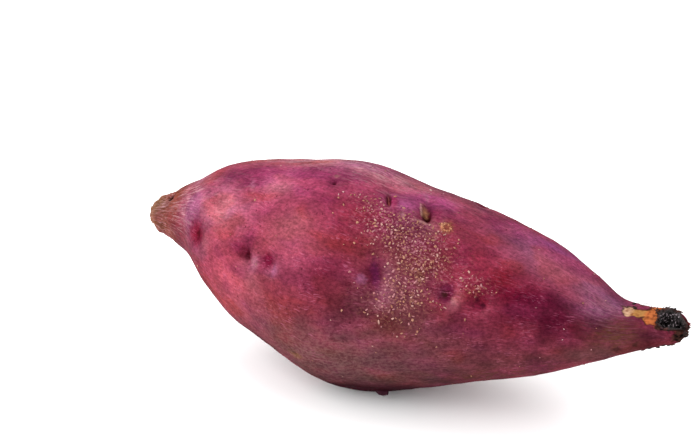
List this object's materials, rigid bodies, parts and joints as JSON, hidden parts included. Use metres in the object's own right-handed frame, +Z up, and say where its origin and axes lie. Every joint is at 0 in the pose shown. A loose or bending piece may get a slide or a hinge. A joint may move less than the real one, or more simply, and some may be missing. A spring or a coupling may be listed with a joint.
{
  "type": "sweet potato",
  "caption": "Whole raw sweet potato with rosy purple skin, a corky stalk stub and a snapped, hollow tail, lying on its belly.",
  "frame": {"origin": "the middle of the small flat spot under the belly that the root rests on", "axes": "+X along the root from the stalk stub to the snapped tail, +Z up, so the front that the picture shows faces -Y"},
  "size_m": [0.1713, 0.0659, 0.0645],
  "materials": {
    "skin": "satin"
  },
  "bodies": {
    "root": {"sweet_potato": "skin"}
  },
  "joints": []
}
